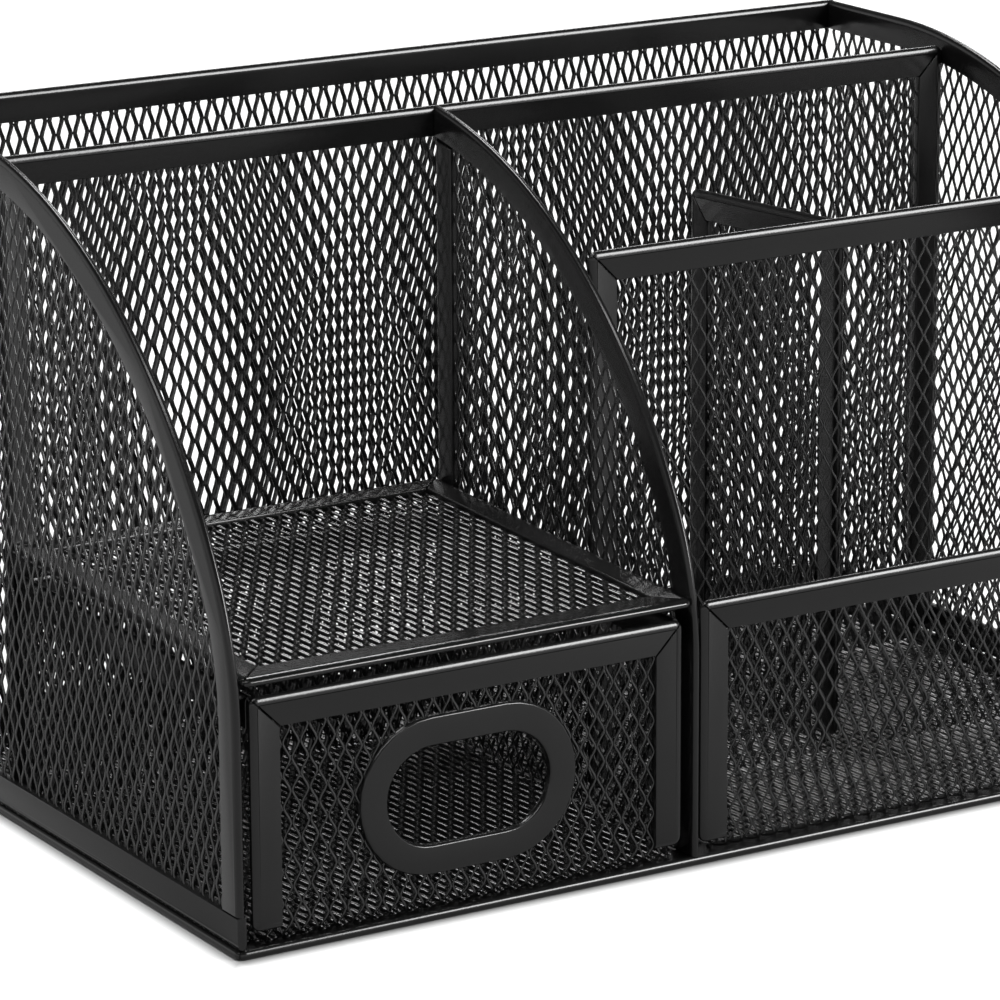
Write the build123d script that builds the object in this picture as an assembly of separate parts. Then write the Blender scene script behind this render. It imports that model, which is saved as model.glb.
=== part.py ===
from build123d import *
import math
import os

# A wire-mesh desk stand with a drawer. Millimetres, +Z up, the front faces -Y.
# The origin is the middle of the underside.

# Overall size over the outer faces of the walls.
width = 220.0
depth = 136.0
height = 132.0

# Side profile: flat top at the back, a wide crown, a tighter nose, then a straight front.
flat_top_length = 27.0
front_straight = 42.0
nose_radius = 60.0

# Folded sheet trim that binds every cut edge of the mesh.
rail_width = 6.0
trim_thickness = 1.8
fold_ease = 0.35
corner_cut = 0.8
foot_cut = 0.8
foot_height = 4.2
mitre_gap = 0.3
strip_gap = 0.4

# Expanded mesh. The nets are drawn coarser than the real mesh by a whole number,
# finest where they face the user. An opening that the trim cuts down to less than
# the share least_opening of a whole one is left out.
mesh_thickness = 0.8
mesh_row_pitch = 3.64
mesh_long_pitch = 5.97
strand_share = 0.15
hem = 3.5
front_net = 3
inner_net = 5
outer_net = 7
least_opening = 0.2

# Compartments, between the faces of the walls around them.
rear_slot_depth = 39.9
drawer_bay_width = 94.2
pen_cup_width = 57.8
front_pocket_depth = 36.5

# Heights of the inner panels.
middle_panel_drop = 2.2
divider_drop = 2.0
tall_panel_lip = 1.1
pen_divider_drop = 1.0
pen_divider_fall = 2.7
low_front_height = 51.0
shelf_height = 51.9
shelf_rise = 2.5
shelf_weld_gap = 0.2

# Drawer and its finger ring.
drawer_left_gap = 1.4
drawer_right_gap = 2.2
drawer_top_gap = 1.8
drawer_rear_gap = 1.0
drawer_floor_gap = 0.3
drawer_foot_height = 4.8
ring_length = 45.5
ring_height = 30.0
ring_band = 5.7
ring_offset = -0.6
ring_center_height = 24.0

# Places worked out from the sizes above.
half_trim = trim_thickness / 2
fold_wall = (trim_thickness - mesh_thickness) / 2
side_x = width / 2
front_y = -depth / 2
back_y = depth / 2
side_inner_x = side_x - trim_thickness
back_inner_y = back_y - trim_thickness
middle_y = back_inner_y - rear_slot_depth - half_trim
middle_front_y = middle_y - half_trim
divider_x = drawer_bay_width - side_inner_x + half_trim
divider_left_x = divider_x - half_trim
divider_right_x = divider_x + half_trim
tall_y = front_y + trim_thickness + front_pocket_depth + half_trim
tall_rear_y = tall_y + half_trim
pen_divider_x = divider_right_x + pen_cup_width + half_trim
strip_bottom = trim_thickness + strip_gap
strip_top = strip_bottom + rail_width

# The nose is tangent to the straight front, and the crown to both the nose and the flat top.
crown_y = back_y - flat_top_length
nose_y = front_y + nose_radius
nose_reach = crown_y - nose_y
nose_rise = height - front_straight
crown_radius = (nose_reach**2 + nose_rise**2 - nose_radius**2) / (2 * (nose_rise - nose_radius))
crown_angle = math.asin(nose_reach / (crown_radius - nose_radius))

parts = {}


def polygon(*points):
    return make_face(Polyline(*points, close=True))


def slab(face, thickness=trim_thickness):
    """A flat face made solid, half its thickness to each side of its plane."""
    return extrude(face, amount=thickness / 2, both=True)


def folded(face):
    """A strip of trim, with the edges of its two broad faces eased by the fold."""
    body = slab(face)
    edges = body.edges().filter_by(lambda edge: abs(abs(edge.center().Z) - half_trim) < 1e-4)
    return chamfer(edges, fold_ease)


def seam(outer_corner, inner_corner):
    """The thin gap of a mitre, run past both corners."""
    across = inner_corner[0] - outer_corner[0]
    along = inner_corner[1] - outer_corner[1]
    length = math.hypot(across, along)
    middle = ((outer_corner[0] + inner_corner[0]) / 2, (outer_corner[1] + inner_corner[1]) / 2)
    cut = Rectangle(length + rail_width / 2, mitre_gap)
    return slab(Pos(*middle) * Rot(Z=math.degrees(math.atan2(along, across))) * cut, 2 * trim_thickness)


def curve_height(y):
    """Height of the side profile's outer edge at y."""
    if y >= crown_y:
        return height
    if y >= crown_y - crown_radius * math.sin(crown_angle):
        return height - crown_radius + math.sqrt(crown_radius**2 - (y - crown_y) ** 2)
    return front_straight + math.sqrt(nose_radius**2 - (y - nose_y) ** 2)


def profile(inset, bottom, rear, top=height):
    """The side outline in its Y-Z plane, drawn in by inset along the front, curve and top."""
    crown = crown_radius - inset
    nose = nose_radius - inset
    crown_center = (crown_y, top - crown_radius)
    nose_center = (nose_y, top - nose_rise)
    turn = 90 - math.degrees(crown_angle)
    start = (front_y + inset, bottom)
    front = Line(start, (front_y + inset, nose_center[1]))
    nose_arc = CenterArc(nose_center, nose, 180, -turn)
    crown_arc = CenterArc(crown_center, crown, 180 - turn, turn - 90)
    flat = Polyline((crown_y, top - inset), (back_y, top - inset), (back_y, bottom), start)
    outline = make_face(Curve() + [front, nose_arc, crown_arc, flat])
    return outline & rectangle(front_y, rear, bottom, top)


def net(outline, region, scale):
    """A sheet of mesh as one holed face: a staggered lattice of diamonds, cut off at the region."""
    box = region.bounding_box()
    half_row = mesh_row_pitch * scale / 2
    half_long = mesh_long_pitch * scale / 2
    reach = (half_row * (1 - strand_share), half_long * (1 - strand_share))
    diamond = polygon((reach[0], 0), (0, reach[1]), (-reach[0], 0), (0, -reach[1]))
    columns = math.ceil(box.size.X / half_row / 2)
    rows = math.ceil(box.size.Y / half_long / 2)
    wires = []
    for column in range(-columns, columns + 1):
        for row in range(-rows, rows + 1):
            if (column + row) % 2:
                continue
            place = Pos(box.center().X + column * half_row, box.center().Y + row * half_long)
            opening = (place * diamond) & region
            for face in opening.faces() if opening else []:
                if face.area > least_opening * diamond.area:
                    wires.append(face.outer_wire())
    gaps = list(outline.face().inner_wires())
    return slab(Face(outline.face().outer_wire(), gaps + wires), mesh_thickness)


def rectangle(left, right, bottom, top):
    return polygon((left, bottom), (right, bottom), (right, top), (left, top))


def open_panel(plane, names, left, right, bottom, foot, top_left, top_right, scale, cut=None):
    """A mesh panel bound on its sides and top by three mitred rails, with its lower edge free."""
    slope = (top_right - top_left) / (right - left)
    fall = math.hypot(1, slope)

    def inset_outline(inset, lower):
        low_x, high_x = left + inset, right - inset
        low_top = top_left + slope * inset - inset * fall
        high_top = top_right - slope * inset - inset * fall
        return [(low_x, lower), (high_x, lower), (high_x, high_top), (low_x, low_top)]

    outer = inset_outline(0, foot)
    inner = inset_outline(rail_width, foot - rail_width)
    sheet = polygon(*inset_outline(fold_wall, bottom))
    region = polygon(*inset_outline(hem, bottom + hem))
    if cut:
        sheet = sheet - cut[0]
        region = region - cut[1]
    strip = polygon(*outer) - polygon(*inner)
    strip = chamfer(strip.vertices().sort_by(Axis.Y)[-2:], corner_cut)
    strip = chamfer(strip.vertices().sort_by(Axis.Y)[:4], foot_cut)
    trim = folded(strip) - seam(outer[3], inner[3]) - seam(outer[2], inner[2])
    trim = trim - slab(sheet, mesh_thickness)
    rails = trim.solids()
    by_x = rails.sort_by(Axis.X)
    parts[names[0]] = plane * net(sheet, region, scale)
    parts[names[1]] = plane * rails.sort_by(Axis.Y)[-1]
    parts[names[2]] = plane * by_x[0]
    parts[names[3]] = plane * by_x[-1]
    return sheet


def closed_panel(plane, names, left, right, front, rear, scale):
    """A mesh panel bound all round by four mitred rails."""
    outer = [(left, front), (right, front), (right, rear), (left, rear)]
    inner_box = (left + rail_width, right - rail_width, front + rail_width, rear - rail_width)
    strip = chamfer(polygon(*outer).vertices(), corner_cut) - rectangle(*inner_box)
    sheet = rectangle(left + fold_wall, right - fold_wall, front + fold_wall, rear - fold_wall)
    trim = folded(strip)
    inner = [(x, y) for y in inner_box[2:] for x in inner_box[:2]]
    for outer_corner, inner_corner in zip(outer, [inner[0], inner[1], inner[3], inner[2]]):
        trim = trim - seam(outer_corner, inner_corner)
    rails = (trim - slab(sheet, mesh_thickness)).solids()
    by_x = rails.sort_by(Axis.X)
    by_y = rails.sort_by(Axis.Y)
    parts[names[0]] = plane * net(sheet, rectangle(left + hem, right - hem, front + hem, rear - hem), scale)
    parts[names[1]] = plane * by_y[0]
    parts[names[2]] = plane * by_y[-1]
    parts[names[3]] = plane * by_x[0]
    parts[names[4]] = plane * by_x[-1]


def wall_plane(y):
    """Local x is X and local y is Z, on a wall that faces the front."""
    return Plane(origin=(0, y, 0), x_dir=(1, 0, 0), z_dir=(0, -1, 0))


def cheek_plane(x):
    """Local x is Y and local y is Z, on a wall that faces the side."""
    return Plane(origin=(x, 0, 0), x_dir=(0, 1, 0), z_dir=(1, 0, 0))


def build_base():
    floor = Plane(origin=(0, 0, half_trim), x_dir=(1, 0, 0), z_dir=(0, 0, 1))
    names = ["base_mesh", "base_front_rail", "base_back_rail", "base_left_rail", "base_right_rail"]
    closed_panel(floor, names, -side_x, side_x, front_y, back_y, outer_net)


def build_side(name, x):
    """An outer side: its mesh, the rim over the curve and the strip along the bottom."""
    sheet = profile(fold_wall, trim_thickness, back_inner_y)
    region = profile(hem, trim_thickness + hem, back_inner_y - hem)
    blade = slab(sheet, mesh_thickness)
    band = profile(0, strip_top, back_inner_y)
    band = band - profile(rail_width, strip_top - rail_width, back_y)
    strip = rectangle(front_y, back_inner_y, strip_bottom, strip_top)
    parts[f"{name}_side_mesh"] = cheek_plane(x) * net(sheet, region, outer_net)
    parts[f"{name}_side_rim"] = cheek_plane(x) * (folded(band) - blade)
    parts[f"{name}_bottom_strip"] = cheek_plane(x) * (folded(strip) - blade)


def build_back():
    sheet = rectangle(-side_x + fold_wall, side_x - fold_wall, trim_thickness, height - fold_wall)
    region = rectangle(-side_x + hem, side_x - hem, trim_thickness + hem, height - hem)
    blade = slab(sheet, mesh_thickness)
    top = rectangle(-side_x, side_x, height - rail_width, height)
    strip = rectangle(-side_x, side_x, strip_bottom, strip_top)
    plane = wall_plane(back_y - half_trim)
    parts["back_mesh"] = plane * net(sheet, region, outer_net)
    parts["back_top_rail"] = plane * (folded(top) - blade)
    parts["back_bottom_strip"] = plane * (folded(strip) - blade)


def build_middle_panel():
    top = curve_height(middle_y) - middle_panel_drop
    names = ["middle_panel_mesh", "middle_top_rail", "middle_left_rail", "middle_right_rail"]
    open_panel(wall_plane(middle_y), names, -side_inner_x, side_inner_x, trim_thickness, foot_height,
               top, top, outer_net)


def build_center_divider():
    """The curved wall beside the drawer bay, from the front to the middle panel."""
    top = height - divider_drop
    plane = cheek_plane(divider_x)
    sheet = profile(fold_wall, trim_thickness, middle_front_y - fold_wall, top)
    region = profile(hem, trim_thickness + hem, middle_front_y - hem, top)
    blade = slab(sheet, mesh_thickness)
    under_rim = profile(rail_width + strip_gap, foot_height, middle_front_y, top)
    band = profile(0, trim_thickness, middle_front_y, top)
    band = band - profile(rail_width, 0, back_y, top)
    rear = rectangle(middle_front_y - rail_width, middle_front_y, foot_height, top) & under_rim
    parts["center_divider_mesh"] = plane * net(sheet, region, inner_net)
    parts["center_divider_rim"] = plane * (folded(band) - blade)
    parts["center_divider_rear_rail"] = plane * (folded(rear) - blade)


def build_shelf():
    """The tray floor over the drawer, which falls slightly towards the front."""
    slope = math.atan2(shelf_rise, middle_front_y - front_y)
    run = (middle_front_y - shelf_weld_gap - front_y) / math.cos(slope)
    up = (0, -math.sin(slope), math.cos(slope))
    origin = (0, front_y + half_trim * math.sin(slope), shelf_height - half_trim * math.cos(slope))
    names = ["shelf_mesh", "shelf_front_rail", "shelf_rear_rail", "shelf_left_rail", "shelf_right_rail"]
    plane = Plane(origin=origin, x_dir=(1, 0, 0), z_dir=up)
    closed_panel(plane, names, -side_inner_x, divider_left_x, 0, run, inner_net)


def build_pen_panels():
    """The tall panel in front of the pens, and the short divider between the two pen cups."""
    tall_top = curve_height(tall_y) + tall_panel_lip
    names = ["tall_panel_mesh", "tall_panel_top_rail", "tall_panel_left_rail", "tall_panel_right_rail"]
    open_panel(wall_plane(tall_y), names, divider_right_x, side_inner_x, trim_thickness, foot_height,
               tall_top, tall_top, inner_net)
    front_top = tall_top - pen_divider_drop
    names = ["pen_divider_mesh", "pen_divider_top_rail", "pen_divider_front_rail", "pen_divider_rear_rail"]
    open_panel(cheek_plane(pen_divider_x), names, tall_rear_y, middle_front_y, trim_thickness, foot_height,
               front_top, front_top - pen_divider_fall, inner_net)


def build_low_front():
    names = ["low_front_mesh", "low_front_top_rail", "low_front_left_rail", "low_front_right_rail"]
    open_panel(wall_plane(front_y + half_trim), names, divider_right_x, side_inner_x, trim_thickness,
               foot_height, low_front_height, low_front_height, front_net)


def build_drawer():
    """The sliding box: a framed mesh front with a finger ring, and a mesh box behind it."""
    left = -side_inner_x + drawer_left_gap
    right = divider_left_x - drawer_right_gap
    bottom = trim_thickness + drawer_floor_gap
    floor_top = bottom + mesh_thickness
    top = shelf_height - trim_thickness - drawer_top_gap
    box_front = front_y + trim_thickness
    box_rear = middle_front_y - drawer_rear_gap
    center = Pos((left + right) / 2 + ring_offset, ring_center_height)
    hole_length = ring_length - 2 * ring_band
    hole_height = ring_height - 2 * ring_band
    ring_outer = center * SlotOverall(ring_length, ring_height)
    ring_hole = center * SlotOverall(hole_length, hole_height)
    sheet_hole = center * SlotOverall(hole_length + 2 * fold_wall, hole_height + 2 * fold_wall)
    net_limit = center * SlotOverall(ring_length - ring_band, ring_height - ring_band)
    plane = wall_plane(front_y + half_trim)
    names = ["drawer_front_mesh", "drawer_front_top_rail",
             "drawer_front_left_rail", "drawer_front_right_rail"]
    sheet = open_panel(plane, names, left, right, bottom, drawer_foot_height, top, top, front_net,
                       cut=(sheet_hole, net_limit))
    parts["drawer_handle_ring"] = plane * (slab(ring_outer - ring_hole) - slab(sheet, mesh_thickness))

    floor_plane = Plane(origin=(0, 0, bottom + mesh_thickness / 2), x_dir=(1, 0, 0), z_dir=(0, 0, 1))
    floor = rectangle(left + fold_wall, right - fold_wall, box_front, box_rear - fold_wall)
    floor_region = rectangle(left + hem, right - hem, box_front + hem, box_rear - hem)
    parts["drawer_bottom_mesh"] = floor_plane * net(floor, floor_region, outer_net)

    def box_wall(name, plane, start, end, sheet_start, sheet_end):
        sheet = rectangle(sheet_start, sheet_end, floor_top, top - fold_wall)
        region = rectangle(start + hem, end - hem, floor_top + hem, top - hem)
        hem_rail = rectangle(start, end, top - rail_width, top)
        parts[f"drawer_{name}_mesh"] = plane * net(sheet, region, inner_net)
        parts[f"drawer_{name}_top_rail"] = plane * (folded(hem_rail) - slab(sheet, mesh_thickness))

    for name, x in (("left", left + half_trim), ("right", right - half_trim)):
        box_wall(name, cheek_plane(x), box_front, box_rear, box_front, box_rear - fold_wall)
    inner_left = left + trim_thickness
    inner_right = right - trim_thickness
    rear_plane = wall_plane(box_rear - half_trim)
    box_wall("back", rear_plane, inner_left, inner_right, inner_left, inner_right)


build_base()
build_side("left", -side_x + half_trim)
build_side("right", side_x - half_trim)
build_back()
build_middle_panel()
build_center_divider()
build_shelf()
build_pen_panels()
build_low_front()
build_drawer()

os.makedirs("parts", exist_ok=True)
for node, shape in parts.items():
    export_step(shape, f"parts/{node}.step")
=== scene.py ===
import math

import bpy
import numpy as np
from mathutils import Matrix, Vector


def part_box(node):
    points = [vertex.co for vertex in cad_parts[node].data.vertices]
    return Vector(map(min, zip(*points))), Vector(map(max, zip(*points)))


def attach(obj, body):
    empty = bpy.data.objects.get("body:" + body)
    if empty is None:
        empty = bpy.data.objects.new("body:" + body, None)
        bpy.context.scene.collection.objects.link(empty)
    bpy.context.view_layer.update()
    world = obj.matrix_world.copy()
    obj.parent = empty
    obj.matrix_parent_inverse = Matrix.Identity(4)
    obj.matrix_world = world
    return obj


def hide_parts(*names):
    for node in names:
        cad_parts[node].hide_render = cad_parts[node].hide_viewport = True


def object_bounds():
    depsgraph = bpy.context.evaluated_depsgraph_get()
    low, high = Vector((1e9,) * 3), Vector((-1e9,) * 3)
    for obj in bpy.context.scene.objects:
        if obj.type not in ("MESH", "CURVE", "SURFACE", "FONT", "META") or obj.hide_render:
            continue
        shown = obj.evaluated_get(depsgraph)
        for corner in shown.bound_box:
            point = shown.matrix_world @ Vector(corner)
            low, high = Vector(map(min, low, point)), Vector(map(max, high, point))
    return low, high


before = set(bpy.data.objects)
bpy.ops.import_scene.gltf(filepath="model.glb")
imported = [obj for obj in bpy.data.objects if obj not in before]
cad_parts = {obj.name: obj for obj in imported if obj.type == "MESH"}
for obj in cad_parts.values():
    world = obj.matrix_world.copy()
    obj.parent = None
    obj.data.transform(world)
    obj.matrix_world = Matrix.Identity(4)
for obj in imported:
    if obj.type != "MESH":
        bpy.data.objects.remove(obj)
cad_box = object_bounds()

MM = 0.001

# Side profile: a tight nose over the straight front, then a wide crown up to the flat top.
NOSE_RADIUS = 60 * MM
FRONT_STRAIGHT = 42 * MM
FLAT_TOP = 27 * MM
DIVIDER_DROP = 2 * MM
NOSE_STEPS = 12
CROWN_STEPS = 34
LEAST_STEP = 0.2 * MM

# Folded sheet trim. The section of a fold is a quarter of an ellipse: its crown is measured in the
# plane of the strip and its depth across it.
RAIL_WIDTH = 6 * MM
FOLD_DEPTH = 0.88 * MM
FOLD_CROWN = 1.5 * MM
BASE_CROWN = 0.7 * MM
RING_CROWN = 0.5 * MM
LIP_CROWN = 0.22 * MM
MITRE_CROWN = 0.16 * MM
FOLD_STEPS = 8
SHARP_ANGLE = math.radians(40)
CORNER_RADIUS = 1.8 * MM
CORNER_STEPS = 4
FOOT_RADIUS = 1.7 * MM
MITRE_SHIFT = 0.08 * MM
RIM_GAP = 0.4 * MM
PEN_DIVIDER_FALL = 2.7 * MM
RING_BAND = 5.7 * MM
RING_STEPS = 16

# Expanded mesh: ribbons of steel that swing between two columns of bonds. The shares say how far a
# ribbon has swung at each stop on its way from one bond to the next. The side walls' strands lie
# flatter than the rest, and those of the panels in front are finer.
ROW_PITCH = 3.64 * MM
LONG_PITCH = 5.97 * MM
STRAND_WIDTH = 0.90 * MM
FINE_STRAND = 0.70 * MM
STRAND_THICKNESS = 0.32 * MM
STRAND_FLAT = 0.38
STRAND_CORNERS = 6
STRAND_TILT = math.radians(28)
SIDE_TILT = math.radians(6)
SWING_STOPS = (0.0, 0.30, 0.70, 1.0)
SWING_SHARES = (-0.06, 0.22, 0.78, 1.06)
FINE_STYLE = {"tilt": -STRAND_TILT, "width": FINE_STRAND}
MESH_GRIP = 3.2 * MM
BEND_RADIUS = 2.6 * MM
BEND_RUN = 1 * MM

# Limits below which a length or a turn counts as none.
NO_LENGTH = 0.01 * MM
NO_TURN = 1e-5
LEAST_SPREAD = 1e-9

# Camera, fitted to the edges of the object in the photograph.
CAMERA_PLACE = Vector((-513.5, -821.5, 318.4)) * MM
CAMERA_YAW = math.radians(-31.290)
CAMERA_PITCH = math.radians(15.316)
CAMERA_ROLL = math.radians(-0.263)
CAMERA_LENS = 184.87
SENSOR_WIDTH = 36.0

# Enamel: a cloud that varies the tint and the gloss, and an orange peel.
ENAMEL_BLACK = 0.004
CLOUD_SCALE = 55
CLOUD_DETAIL = 3
TINT_RANGE = (0.75, 1.3)
GLOSS_RANGE = (0.85, 1.2)
PEEL_DETAIL = 2
PEEL_HEIGHT = 0.05 * MM

WHITE = (1, 1, 1, 1)

# Studio lamps: the directions of their two ends, seen from the object, and their breadth as a share of
# their distance.
LAMP_DISTANCE = 3.0
FRONT_LAMP = {"start": (0.53, -0.80, 0.22), "end": (0.50, -0.64, 0.58), "breadth": 0.42, "radiance": 20}
LEFT_LAMP = {"start": (0.00, -0.38, 0.92), "end": (-0.77, -0.05, 0.63), "breadth": 0.14, "radiance": 9}
TOP_LAMP = {"start": (-0.12, 0.58, 0.80), "end": (-0.18, 0.20, 0.96), "breadth": 0.22, "radiance": 17}
BACK_LAMP = {"start": (0.30, 0.62, 0.72), "end": (0.65, 0.52, 0.55), "breadth": 0.10, "radiance": 15}

# Room: pale up to the horizon's top, and dim from the ceiling's start, as heights of a direction.
HORIZON_LEVEL = 1.0
HORIZON_TOP = 0.22
CEILING_START = 0.4
CEILING_LEVEL = 0.08

# Floor: it glows for the camera and, less, in reflections, but not under the object, where leaving the glow
# out paints a contact shadow round the footprint.
FLOOR_REACH = 6.0
FLOOR_PALE = 0.30
FLOOR_ROUGHNESS = 0.9
FLOOR_GLOW = 0.80
MIRRORED_SHARE = 0.22
# Painted contact shadow: the glow fades in between these distances from the footprint's edge.
PAINTED_SHADOW_START = -0.5 * MM
PAINTED_SHADOW_END = 3.5 * MM

# Directions of the flat pieces: local u, v and the normal n, as columns.
WALL = Matrix(((1, 0, 0), (0, 0, -1), (0, 1, 0)))
CHEEK = Matrix(((0, 0, 1), (1, 0, 0), (0, 1, 0)))
FLOOR = Matrix(((1, 0, 0), (0, 1, 0), (0, 0, 1)))


# ---------------------------------------------------------------- materials

def enamel(name, gloss_level, roughness, peel_scale, peel_strength):
    """Black stove enamel: a nearly black coat with a fine orange peel and a slightly uneven gloss."""
    material = bpy.data.materials.new(name)
    material.use_nodes = True
    nodes = material.node_tree.nodes
    links = material.node_tree.links
    shader = nodes["Principled BSDF"]
    shader.inputs["Specular IOR Level"].default_value = gloss_level
    place = nodes.new("ShaderNodeTexCoord")

    cloud = nodes.new("ShaderNodeTexNoise")
    cloud.inputs["Scale"].default_value = CLOUD_SCALE
    cloud.inputs["Detail"].default_value = CLOUD_DETAIL
    links.new(place.outputs["Object"], cloud.inputs["Vector"])
    tint = nodes.new("ShaderNodeMapRange")
    tint.inputs["To Min"].default_value = ENAMEL_BLACK * TINT_RANGE[0]
    tint.inputs["To Max"].default_value = ENAMEL_BLACK * TINT_RANGE[1]
    links.new(cloud.outputs["Fac"], tint.inputs["Value"])
    shade = nodes.new("ShaderNodeCombineColor")
    for channel in ("Red", "Green", "Blue"):
        links.new(tint.outputs["Result"], shade.inputs[channel])
    links.new(shade.outputs["Color"], shader.inputs["Base Color"])

    gloss = nodes.new("ShaderNodeMapRange")
    gloss.inputs["To Min"].default_value = roughness * GLOSS_RANGE[0]
    gloss.inputs["To Max"].default_value = roughness * GLOSS_RANGE[1]
    links.new(cloud.outputs["Fac"], gloss.inputs["Value"])
    links.new(gloss.outputs["Result"], shader.inputs["Roughness"])

    peel = nodes.new("ShaderNodeTexNoise")
    peel.inputs["Scale"].default_value = peel_scale
    peel.inputs["Detail"].default_value = PEEL_DETAIL
    links.new(place.outputs["Object"], peel.inputs["Vector"])
    bump = nodes.new("ShaderNodeBump")
    bump.inputs["Strength"].default_value = peel_strength
    bump.inputs["Distance"].default_value = PEEL_HEIGHT
    links.new(peel.outputs["Fac"], bump.inputs["Height"])
    links.new(bump.outputs["Normal"], shader.inputs["Normal"])
    return material


TRIM_LOOK = enamel("trim_enamel", gloss_level=0.38, roughness=0.22, peel_scale=1400, peel_strength=0.2)
MESH_LOOK = enamel("mesh_enamel", gloss_level=0.65, roughness=0.18, peel_scale=2200, peel_strength=0.1)


# ---------------------------------------------------------------- geometry

def placed(directions, u=0.0, v=0.0, n=0.0):
    """A placing matrix from local u, v, n to the world, with its origin at local (u, v, n)."""
    matrix = directions.to_4x4()
    matrix.translation = directions @ Vector((u, v, n))
    return matrix


def add_piece(node, mesh, look):
    """Shows a mesh in place of a CAD node."""
    mesh.materials.append(look)
    piece = bpy.data.objects.new(node + "_look", mesh)
    bpy.context.scene.collection.objects.link(piece)
    body = "drawer" if node.startswith("drawer_") else "housing"
    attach(piece, body)
    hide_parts(node)


def arc(center, radius, start, end, steps=CORNER_STEPS):
    """Points of an arc, angles in degrees."""
    angles = np.radians(np.linspace(start, end, steps + 1))
    return [(center[0] + radius * math.cos(a), center[1] + radius * math.sin(a)) for a in angles]


def drawn_in(loop, shifts):
    """Moves each side of a closed outline to its left by the side's own shift."""
    points = np.array(loop)
    along = np.roll(points, -1, axis=0) - points
    along /= np.linalg.norm(along, axis=1)[:, None]
    normal = np.stack([-along[:, 1], along[:, 0]], axis=1)
    before = np.roll(normal, 1, axis=0)
    shift_before = np.roll(shifts, 1)
    dot = np.sum(before * normal, axis=1)
    spread = np.maximum(1 - dot**2, LEAST_SPREAD)
    share_before = (shift_before - dot * shifts) / spread
    share_after = (shifts - dot * shift_before) / spread
    moved = share_before[:, None] * before + share_after[:, None] * normal
    straight = spread < NO_TURN
    moved[straight] = normal[straight] * shifts[straight][:, None]
    return points + moved


def plate(node, place, loop, thickness, mitres=(), lips=(), crown=FOLD_CROWN, hole=None):
    """A flat strip of trim within a closed outline. lips and mitres list the sides that are a thin cut
    lip or a mitre, and the others are round folds. A hole has as many points as the outline."""
    loops = [loop] + ([hole] if hole else [])
    count = len(loop)
    shared = np.ones(count)
    fixed = np.zeros(count)
    for side in lips:
        shared[side] = LIP_CROWN / crown
    for side in mitres:
        shared[side] = MITRE_CROWN / crown
        fixed[side] = MITRE_SHIFT
    turns = np.radians(np.linspace(0, 90, FOLD_STEPS + 1))
    levels = [(crown * (1 - math.cos(t)), thickness / 2 - FOLD_DEPTH * (1 - math.sin(t)))
              for t in turns]
    levels = [(inset, -height) for inset, height in reversed(levels)] + levels
    vertices = []
    faces = []
    for loop_index, outline in enumerate(loops):
        start = len(vertices)
        for inset, height in levels:
            shifts = fixed + shared * inset if loop_index == 0 else np.full(len(outline), inset)
            vertices += [(u, v, height) for u, v in drawn_in(outline, shifts)]
        for level in range(len(levels) - 1):
            low = start + level * count
            for i in range(count):
                j = (i + 1) % count
                faces.append((low + i, low + j, low + count + j, low + count + i))
    rounded_faces = len(faces)
    top = (len(levels) - 1) * count
    if hole:
        under = len(levels) * count
        for i in range(count):
            j = (i + 1) % count
            hi, hj = -i % count, -j % count
            faces.append((j, i, under + hi, under + hj))
            faces.append((top + i, top + j, under + top + hj, under + top + hi))
    else:
        faces.append(tuple(reversed(range(count))))
        faces.append(tuple(range(top, top + count)))
    mesh = bpy.data.meshes.new(node + "_look")
    mesh.from_pydata([place @ Vector(point) for point in vertices], [], faces)
    smooth = [index < rounded_faces for index in range(len(faces))]
    mesh.polygons.foreach_set("use_smooth", smooth)
    mesh.set_sharp_from_angle(angle=SHARP_ANGLE)
    mesh.update()
    add_piece(node, mesh, TRIM_LOOK)


def ribbon_rings(column, low, high, tilt, width):
    """Six-sided rings of one ribbon of mesh from v = low to v = high, as local (u, v, n) points."""
    half = LONG_PITCH / 2
    first = math.floor(low / half)
    last = math.ceil(high / half)
    stops = [(step + share) * half for step in range(first, last) for share in SWING_STOPS[:3]]
    inner_stops = [v for v in stops if low + NO_LENGTH < v < high - NO_LENGTH]
    stops = np.array([low, *inner_stops, high])
    turn = stops / half
    step = np.floor(turn)
    swing = np.interp(turn - step, SWING_STOPS, SWING_SHARES)
    swing = np.where((step + column) % 2 == 0, swing, 1 - swing)
    across = width * math.cos(tilt)
    lift = width * math.sin(tilt)
    center_u = column * ROW_PITCH / 2 + across / 2 + (ROW_PITCH / 2 - across) * swing
    center_n = lift * (0.5 - swing)
    flat = STRAND_FLAT
    section_across = np.array([-0.5, -flat, flat, 0.5, flat, -flat]) * width
    section_through = np.array([0, -0.5, -0.5, 0, 0.5, 0.5]) * STRAND_THICKNESS
    ring_u = section_across * math.cos(tilt) - section_through * math.sin(tilt)
    ring_n = section_across * math.sin(tilt) + section_through * math.cos(tilt)
    rings = np.empty((len(stops), STRAND_CORNERS, 3))
    rings[:, :, 0] = center_u[:, None] + ring_u
    rings[:, :, 1] = stops[:, None]
    rings[:, :, 2] = center_n[:, None] + ring_n
    return rings


def bent(points, foot, side):
    """Rolls the part of a mesh below v = foot + BEND_RADIUS round towards the side of n."""
    start = foot + BEND_RADIUS
    below = np.maximum(start - points[:, 1], 0)
    turn = below / BEND_RADIUS
    flat = np.maximum(turn - math.pi / 2, 0) * BEND_RADIUS
    turn = np.minimum(turn, math.pi / 2)
    reach = BEND_RADIUS - side * points[:, 2]
    rolled = points.copy()
    rolled[:, 1] = np.where(below > 0, start - reach * np.sin(turn), points[:, 1])
    rolled[:, 2] = np.where(below > 0, side * (BEND_RADIUS - reach * np.cos(turn) + flat), points[:, 2])
    return rolled


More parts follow.
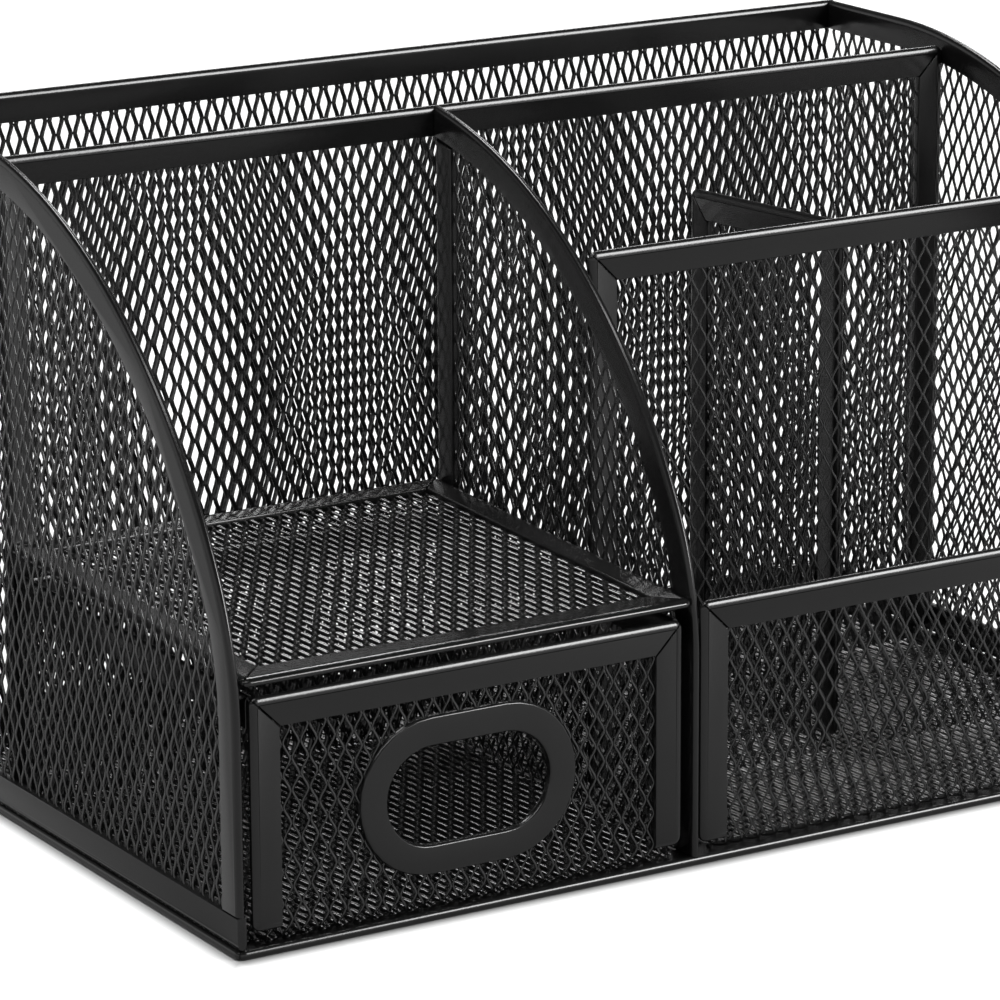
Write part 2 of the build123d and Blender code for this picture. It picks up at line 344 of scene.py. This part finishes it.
def expanded_mesh(node, place, left, right, spans, tilt=STRAND_TILT, width=STRAND_WIDTH, bend=None):
    """A panel of expanded mesh. spans(u) lists the stretches of v that a ribbon at u covers.
    tilt and width are those of its strands, and bend the foot and side of a rolled lower edge."""
    chunks = []
    faces = []
    used = 0
    sides = STRAND_CORNERS
    ring_faces = np.array([(i, (i + 1) % sides, (i + 1) % sides + sides, i + sides) for i in range(sides)])
    # Two quads close each end of a ribbon.
    caps = np.array([(3, 2, 1, 0), (5, 4, 3, 0), (0, 1, 2, 3), (0, 3, 4, 5)])
    columns = range(math.floor(left / (ROW_PITCH / 2)), math.ceil(right / (ROW_PITCH / 2)))
    for column in columns:
        middle = (column + 0.5) * ROW_PITCH / 2
        if not left < middle < right:
            continue
        for low, high in spans(middle):
            if high - low < ROW_PITCH / 2:
                continue
            rings = ribbon_rings(column, low, high, tilt, width)
            count = len(rings)
            chunks.append(rings.reshape(-1, 3))
            steps = np.arange(count - 1)[:, None, None] * sides
            faces.append((ring_faces[None] + steps).reshape(-1, 4) + used)
            faces.append(caps[:2] + used)
            faces.append(caps[2:] + used + (count - 1) * sides)
            used += count * sides
    points = np.concatenate(chunks)
    if bend:
        points = bent(points, *bend)
    quads = np.concatenate(faces)
    matrix = np.array(place)
    points = points @ matrix[:3, :3].T + matrix[:3, 3]
    mesh = bpy.data.meshes.new(node + "_look")
    mesh.vertices.add(len(points))
    mesh.vertices.foreach_set("co", points.ravel())
    mesh.loops.add(len(quads) * 4)
    mesh.loops.foreach_set("vertex_index", quads.ravel())
    mesh.polygons.add(len(quads))
    mesh.polygons.foreach_set("loop_start", np.arange(len(quads)) * 4)
    mesh.update(calc_edges=True)
    add_piece(node, mesh, MESH_LOOK)


# ---------------------------------------------------------------- panels

def middle_of(node, axis):
    low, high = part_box(node)
    return (low[axis] + high[axis]) / 2


def thickness_of(node, axis):
    low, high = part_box(node)
    return high[axis] - low[axis]


def bar(node, place, left, right, low, high, thickness, lips=(0,)):
    """A straight strip with cut ends. lips lists its cut long sides: 0 the lower one, 2 the upper one."""
    loop = [(left, low), (right, low), (right, high), (left, high)]
    plate(node, place, loop, thickness, lips=(1, 3, *lips))


def open_frame(rails, axis, directions, fall=0.0):
    """The three mitred rails of a panel whose lower edge is free. rails: top, left, right."""
    top_node, left_node, right_node = rails
    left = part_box(left_node)[0][axis]
    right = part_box(right_node)[1][axis]
    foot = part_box(left_node)[0][2]
    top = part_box(top_node)[1][2]
    depth_axis = 1 - axis
    thickness = thickness_of(left_node, depth_axis)
    across = middle_of(left_node, depth_axis)
    place = placed(directions, n=-across if axis == 0 else across)
    slope = -fall / (right - left)

    def sheared(points):
        return [(u, v + slope * (u - left)) for u, v in points]

    corner = CORNER_RADIUS
    inner_left = left + RAIL_WIDTH
    inner_right = right - RAIL_WIDTH
    inner_top = top - RAIL_WIDTH
    left_arc = arc((left + corner, top - corner), corner, 135, 180)
    right_arc = arc((right - corner, top - corner), corner, 0, 45)
    foot_out = FOOT_RADIUS
    left_loop = (left_arc + arc((left + foot_out, foot + foot_out), foot_out, 180, 270)
                 + [(inner_left, foot), (inner_left, inner_top)])
    right_loop = (right_arc + [(inner_right, inner_top), (inner_right, foot)]
                  + arc((right - foot_out, foot + foot_out), foot_out, 270, 360))
    top_loop = ([(inner_left, inner_top), (inner_right, inner_top)]
                + arc((right - corner, top - corner), corner, 45, 90)
                + arc((left + corner, top - corner), corner, 90, 135))
    last = len(left_loop) - 1
    plate(left_node, place, sheared(left_loop), thickness, mitres=(last,), lips=(last - 1,))
    start = len(right_arc) - 1
    plate(right_node, place, sheared(right_loop), thickness, mitres=(start,), lips=(start + 1,))
    plate(top_node, place, sheared(top_loop), thickness, mitres=(1, len(top_loop) - 1), lips=(0,))
    return place, left, right, top


def closed_frame(nodes, place, left, right, front, rear, thickness, crown=FOLD_CROWN):
    """Four mitred rails round a lying panel. nodes: front, rear, left, right."""
    corner = CORNER_RADIUS
    inner = (left + RAIL_WIDTH, right - RAIL_WIDTH, front + RAIL_WIDTH, rear - RAIL_WIDTH)
    front_loop = (arc((left + corner, front + corner), corner, 225, 270)
                  + arc((right - corner, front + corner), corner, 270, 315)
                  + [(inner[1], inner[2]), (inner[0], inner[2])])
    rear_loop = (arc((right - corner, rear - corner), corner, 45, 90)
                 + arc((left + corner, rear - corner), corner, 90, 135)
                 + [(inner[0], inner[3]), (inner[1], inner[3])])
    left_loop = (arc((left + corner, rear - corner), corner, 135, 180)
                 + arc((left + corner, front + corner), corner, 180, 225)
                 + [(inner[0], inner[2]), (inner[0], inner[3])])
    right_loop = (arc((right - corner, front + corner), corner, 315, 360)
                  + arc((right - corner, rear - corner), corner, 0, 45)
                  + [(inner[1], inner[3]), (inner[1], inner[2])])
    for node, loop in zip(nodes, (front_loop, rear_loop, left_loop, right_loop)):
        count = len(loop)
        plate(node, place, loop, thickness, mitres=(count - 3, count - 1), lips=(count - 2,), crown=crown)


def wall_mesh(node, place, left, right, bottom, top_at, gap=None, bend_side=0, **pattern):
    """Mesh of a standing panel. top_at(u) is its upper edge, and gap(u) a stretch left open.
    With a bend_side, its lower edge rolls round to that side of n."""
    foot = bottom + STRAND_THICKNESS
    start = foot - BEND_RADIUS * (math.pi / 2 - 1) - BEND_RUN if bend_side else bottom

    def spans(u):
        top = top_at(u)
        hole = gap(u) if gap else None
        if hole:
            return [(start, hole[0]), (hole[1], top)]
        return [(start, top)]
    bend = (foot, bend_side) if bend_side else None
    expanded_mesh(node, place, left + MESH_GRIP, right - MESH_GRIP, spans, bend=bend, **pattern)


def build_open_panel(mesh_node, rails, axis, directions, fall=0.0, **options):
    """A panel whose lower edge is free: its three rails, and its mesh with the given options."""
    place, left, right, top = open_frame(rails, axis, directions, fall)
    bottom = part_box(mesh_node)[0][2]
    slope = fall / (right - left)

    def top_at(u):
        return top - MESH_GRIP - slope * (u - left)
    wall_mesh(mesh_node, place, left, right, bottom, top_at, **options)


# ---------------------------------------------------------------- curved walls

front_y = cad_box[0][1]
back_y = cad_box[1][1]
crown_y = back_y - FLAT_TOP
nose_y = front_y + NOSE_RADIUS
height = cad_box[1][2]
nose_rise = height - FRONT_STRAIGHT
reach = crown_y - nose_y
crown_radius = (reach**2 + nose_rise**2 - NOSE_RADIUS**2) / (2 * (nose_rise - NOSE_RADIUS))
crown_angle = math.asin(reach / (crown_radius - NOSE_RADIUS))


def curve_top(y, top, inset=0.0):
    """Height of the profile drawn in by inset, at y, or None in front of it."""
    if y >= crown_y:
        return top - inset
    crown = crown_radius - inset
    if y >= crown_y - crown * math.sin(crown_angle):
        return top - crown_radius + math.sqrt(crown**2 - (y - crown_y) ** 2)
    nose = NOSE_RADIUS - inset
    if abs(y - nose_y) >= nose:
        return None
    return top - nose_rise + math.sqrt(nose**2 - (y - nose_y) ** 2)


def profile(inset, top, bottom, rear):
    """The curved outline from the foot of the front up to the rear end of the top."""
    turn = 90 - math.degrees(crown_angle)
    points = [(front_y + inset, bottom)]
    points += arc((nose_y, top - nose_rise), NOSE_RADIUS - inset, 180, 180 - turn, NOSE_STEPS)
    points += arc((crown_y, top - crown_radius), crown_radius - inset, 180 - turn, 90, CROWN_STEPS)[1:]
    if rear > crown_y:
        points.append((rear, top - inset))
        return points
    kept = [point for point in points if point[0] < rear - LEAST_STEP]
    return kept + [(rear, curve_top(rear, top, inset))]


def rim(node, top, bottom, rear):
    """The curved trim over the front, crown and top of a side."""
    thickness = thickness_of(node, 0)
    place = placed(CHEEK, n=middle_of(node, 0))
    outer = profile(0, top, bottom, rear)
    inner = profile(RAIL_WIDTH, top, bottom, rear)
    loop = list(reversed(outer)) + inner
    plate(node, place, loop, thickness, lips=range(len(outer) - 1, len(loop)))


def curved_mesh(node, top, front, rear, bottom):
    """The mesh of a side, cut off under its curved rim."""
    place = placed(CHEEK, n=middle_of(node, 0))

    def spans(y):
        edge = curve_top(y, top, MESH_GRIP)
        return [(bottom, edge)] if edge else []
    expanded_mesh(node, place, front + MESH_GRIP, rear, spans, SIDE_TILT)


def build_sides():
    for side in ("left", "right"):
        rim_node = side + "_side_rim"
        low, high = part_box(rim_node)
        rim(rim_node, high[2], low[2], high[1])
        strip = side + "_bottom_strip"
        low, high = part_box(strip)
        place = placed(CHEEK, n=middle_of(strip, 0))
        bar(strip, place, low[1], high[1], low[2], high[2], high[0] - low[0], lips=(2,))
        low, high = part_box(side + "_side_mesh")
        curved_mesh(side + "_side_mesh", height, low[1], high[1], low[2])


def build_back():
    for node, lip in (("back_top_rail", 0), ("back_bottom_strip", 2)):
        low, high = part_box(node)
        place = placed(WALL, n=-middle_of(node, 1))
        bar(node, place, low[0], high[0], low[2], high[2], high[1] - low[1], lips=(lip,))
    low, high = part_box("back_mesh")
    place = placed(WALL, n=-middle_of("back_mesh", 1))
    top_edge = high[2] - MESH_GRIP
    wall_mesh("back_mesh", place, low[0] - MESH_GRIP, high[0] + MESH_GRIP, low[2], lambda u: top_edge)


def build_divider():
    top = height - DIVIDER_DROP
    low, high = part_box("center_divider_rim")
    rim("center_divider_rim", top, low[2], high[1])
    low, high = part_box("center_divider_mesh")
    curved_mesh("center_divider_mesh", top, low[1], high[1], low[2])
    node = "center_divider_rear_rail"
    low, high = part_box(node)
    inset = RAIL_WIDTH + RIM_GAP
    loop = [(low[1], low[2]), (high[1], low[2]), (high[1], curve_top(high[1], top, inset)),
            (low[1], curve_top(low[1], top, inset))]
    plate(node, placed(CHEEK, n=middle_of(node, 0)), loop, thickness_of(node, 0), lips=(0, 2, 3))


def build_base():
    low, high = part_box("base_front_rail")
    front = low[1]
    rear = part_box("base_back_rail")[1][1]
    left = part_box("base_left_rail")[0][0]
    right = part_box("base_right_rail")[1][0]
    nodes = ("base_front_rail", "base_back_rail", "base_left_rail", "base_right_rail")
    place = placed(FLOOR, n=(low[2] + high[2]) / 2)
    closed_frame(nodes, place, left, right, front, rear, high[2] - low[2], BASE_CROWN)

    def spans(u):
        return [(front + MESH_GRIP, rear - MESH_GRIP)]
    expanded_mesh("base_mesh", place, left + MESH_GRIP, right - MESH_GRIP, spans)


def build_shelf():
    front_low, front_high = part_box("shelf_front_rail")
    rear_low, rear_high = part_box("shelf_rear_rail")
    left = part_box("shelf_left_rail")[0][0]
    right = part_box("shelf_right_rail")[1][0]
    slope = math.atan2(rear_high[2] - front_high[2], rear_high[1] - front_high[1])
    thickness = thickness_of("base_front_rail", 2)
    front_top = front_high[2] - RAIL_WIDTH * math.sin(slope)
    turn = Matrix.Rotation(slope, 4, "X")
    sunk = Matrix.Translation((0, 0, -thickness / 2))
    place = Matrix.Translation((0, front_low[1], front_top)) @ turn @ sunk
    run = (rear_high[1] - front_low[1]) / math.cos(slope) - thickness * math.tan(slope)
    nodes = ("shelf_front_rail", "shelf_rear_rail", "shelf_left_rail", "shelf_right_rail")
    closed_frame(nodes, place, left, right, 0, run, thickness)

    def spans(u):
        return [(MESH_GRIP, run - MESH_GRIP)]
    expanded_mesh("shelf_mesh", place, left + MESH_GRIP, right - MESH_GRIP, spans)


def obround(center, length, breadth):
    """An obround lying along u, counter-clockwise."""
    radius = breadth / 2
    offset = length / 2 - radius
    return (arc((center[0] + offset, center[1]), radius, -90, 90, RING_STEPS)
            + arc((center[0] - offset, center[1]), radius, 90, 270, RING_STEPS))


def build_drawer():
    ring_low, ring_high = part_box("drawer_handle_ring")
    center = ((ring_low[0] + ring_high[0]) / 2, (ring_low[2] + ring_high[2]) / 2)
    length = ring_high[0] - ring_low[0]
    breadth = ring_high[2] - ring_low[2]

    def gap(u):
        """The stretch of v that the mesh leaves open. Its edge runs along the middle of the ring's band."""
        radius = (breadth - RING_BAND) / 2
        beyond = abs(u - center[0]) - (length - breadth) / 2
        if beyond >= radius:
            return None
        half = math.sqrt(radius**2 - max(beyond, 0) ** 2)
        return center[1] - half, center[1] + half

    rails = ("drawer_front_top_rail", "drawer_front_left_rail", "drawer_front_right_rail")
    build_open_panel("drawer_front_mesh", rails, 0, WALL, gap=gap, bend_side=-1, **FINE_STYLE)
    outer = obround(center, length, breadth)
    hole = obround(center, length - 2 * RING_BAND, breadth - 2 * RING_BAND)
    hole = [hole[0]] + list(reversed(hole[1:]))
    place = placed(WALL, n=-middle_of("drawer_front_left_rail", 1))
    plate("drawer_handle_ring", place, outer, thickness_of("drawer_handle_ring", 1),
          crown=RING_CROWN, hole=hole)

    floor_low, floor_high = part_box("drawer_bottom_mesh")
    place = placed(FLOOR, n=middle_of("drawer_bottom_mesh", 2))

    def spans(u):
        return [(floor_low[1], floor_high[1])]
    expanded_mesh("drawer_bottom_mesh", place, floor_low[0], floor_high[0], spans)
    for side in ("left", "right"):
        node = f"drawer_{side}_top_rail"
        low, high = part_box(node)
        place = placed(CHEEK, n=middle_of(node, 0))
        bar(node, place, low[1], high[1], low[2], high[2], high[0] - low[0])
        mesh_low, mesh_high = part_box(f"drawer_{side}_mesh")
        top_edge = mesh_high[2] - MESH_GRIP
        wall_mesh(f"drawer_{side}_mesh", place, mesh_low[1] - MESH_GRIP, mesh_high[1] + MESH_GRIP,
                  mesh_low[2], lambda u: top_edge)
    low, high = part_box("drawer_back_top_rail")
    place = placed(WALL, n=-middle_of("drawer_back_top_rail", 1))
    bar("drawer_back_top_rail", place, low[0], high[0], low[2], high[2], high[1] - low[1])
    mesh_low, mesh_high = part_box("drawer_back_mesh")
    back_edge = mesh_high[2] - MESH_GRIP
    wall_mesh("drawer_back_mesh", place, mesh_low[0] - MESH_GRIP, mesh_high[0] + MESH_GRIP,
              mesh_low[2], lambda u: back_edge)


# ---------------------------------------------------------------- studio

def build_floor():
    mesh = bpy.data.meshes.new("floor")
    reach = FLOOR_REACH
    corners = [(-reach, -reach, 0), (reach, -reach, 0), (reach, reach, 0), (-reach, reach, 0)]
    mesh.from_pydata(corners, [], [(0, 1, 2, 3)])
    floor = bpy.data.objects.new("floor", mesh)
    bpy.context.scene.collection.objects.link(floor)
    material = bpy.data.materials.new("floor_white")
    material.use_nodes = True
    nodes = material.node_tree.nodes
    links = material.node_tree.links
    shader = nodes["Principled BSDF"]
    shader.inputs["Base Color"].default_value = (FLOOR_PALE, FLOOR_PALE, FLOOR_PALE, 1)
    shader.inputs["Roughness"].default_value = FLOOR_ROUGHNESS
    shader.inputs["Specular IOR Level"].default_value = 0.0
    shader.inputs["Emission Color"].default_value = WHITE

    def math_step(operation, first, second):
        """A math node whose two inputs are numbers or sockets."""
        step = nodes.new("ShaderNodeMath")
        step.operation = operation
        for socket, value in zip(step.inputs, (first, second)):
            if isinstance(value, float):
                socket.default_value = value
            else:
                links.new(value, socket)
        return step.outputs["Value"]

    path = nodes.new("ShaderNodeLightPath")
    mirrored = math_step("MULTIPLY", path.outputs["Is Glossy Ray"], MIRRORED_SHARE)
    seen = math_step("MAXIMUM", path.outputs["Is Camera Ray"], mirrored)

    # The glow starts at the edge of the object's footprint, so the floor under and just round the object
    # shows a painted contact shadow.
    place = nodes.new("ShaderNodeTexCoord")
    split = nodes.new("ShaderNodeSeparateXYZ")
    links.new(place.outputs["Object"], split.inputs["Vector"])
    beside = math_step("SUBTRACT", math_step("ABSOLUTE", split.outputs["X"], 0.0), cad_box[1][0])
    before = math_step("SUBTRACT", math_step("ABSOLUTE", split.outputs["Y"], 0.0), cad_box[1][1])
    # Painted contact shadow: the glow rises from none at the footprint to full strength a few millimetres
    # out.
    edge = nodes.new("ShaderNodeMapRange")
    edge.interpolation_type = "SMOOTHSTEP"
    edge.inputs["From Min"].default_value = PAINTED_SHADOW_START
    edge.inputs["From Max"].default_value = PAINTED_SHADOW_END
    edge.inputs["To Max"].default_value = FLOOR_GLOW
    links.new(math_step("MAXIMUM", beside, before), edge.inputs["Value"])
    glow = math_step("MULTIPLY", seen, edge.outputs["Result"])
    links.new(glow, shader.inputs["Emission Strength"])
    mesh.materials.append(material)


def build_world():
    """A studio room: pale towards the horizon, dim overhead."""
    world = bpy.data.worlds.new("studio")
    bpy.context.scene.world = world
    world.use_nodes = True
    nodes = world.node_tree.nodes
    links = world.node_tree.links
    background = nodes["Background"]
    place = nodes.new("ShaderNodeTexCoord")
    split = nodes.new("ShaderNodeSeparateXYZ")
    links.new(place.outputs["Generated"], split.inputs["Vector"])
    fade = nodes.new("ShaderNodeMapRange")
    fade.inputs["From Min"].default_value = HORIZON_TOP
    fade.inputs["From Max"].default_value = CEILING_START
    fade.inputs["To Min"].default_value = HORIZON_LEVEL
    fade.inputs["To Max"].default_value = CEILING_LEVEL
    links.new(split.outputs["Z"], fade.inputs["Value"])
    links.new(fade.outputs["Result"], background.inputs["Strength"])
    background.inputs["Color"].default_value = WHITE


def softbox(name, start, end, breadth, radiance):
    """A distant lamp, which reaches from direction start to direction end, seen from the object.
    The radiance of an area lamp is its power over four times its area."""
    start = Vector(start).normalized()
    end = Vector(end).normalized()
    back = (start + end).normalized()
    up = back.cross(end - start).normalized()
    across = up.cross(back)
    lamp = bpy.data.lights.new(name, "AREA")
    lamp.shape = "RECTANGLE"
    lamp.size = (end - start).length * LAMP_DISTANCE
    lamp.size_y = breadth * LAMP_DISTANCE
    lamp.energy = 4 * radiance * lamp.size * lamp.size_y
    light = bpy.data.objects.new(name, lamp)
    turn = Matrix((across, up, back)).transposed().to_4x4()
    light.matrix_world = Matrix.Translation(back * LAMP_DISTANCE) @ turn
    bpy.context.scene.collection.objects.link(light)


def build_camera():
    camera = bpy.data.objects.new("camera", bpy.data.cameras.new("camera"))
    camera.data.lens = CAMERA_LENS
    camera.data.sensor_width = SENSOR_WIDTH
    turn = (Matrix.Rotation(CAMERA_YAW, 4, "Z") @ Matrix.Rotation(math.pi / 2 - CAMERA_PITCH, 4, "X")
            @ Matrix.Rotation(CAMERA_ROLL, 4, "Z"))
    camera.matrix_world = Matrix.Translation(CAMERA_PLACE) @ turn
    bpy.context.scene.collection.objects.link(camera)
    bpy.context.scene.camera = camera


build_base()
build_sides()
build_back()
build_open_panel("middle_panel_mesh",
                 ("middle_top_rail", "middle_left_rail", "middle_right_rail"),
                 0, WALL)
build_divider()
build_shelf()
build_open_panel("tall_panel_mesh",
                 ("tall_panel_top_rail", "tall_panel_left_rail", "tall_panel_right_rail"),
                 0, WALL, **FINE_STYLE)
build_open_panel("pen_divider_mesh",
                 ("pen_divider_top_rail", "pen_divider_front_rail", "pen_divider_rear_rail"),
                 1, CHEEK, PEN_DIVIDER_FALL, tilt=SIDE_TILT)
build_open_panel("low_front_mesh",
                 ("low_front_top_rail", "low_front_left_rail", "low_front_right_rail"),
                 0, WALL, bend_side=-1, **FINE_STYLE)
build_drawer()
build_floor()
build_world()
softbox("front_softbox", **FRONT_LAMP)
softbox("left_softbox", **LEFT_LAMP)
softbox("top_softbox", **TOP_LAMP)
softbox("back_softbox", **BACK_LAMP)
build_camera()
bpy.context.scene.view_settings.view_transform = "Standard"
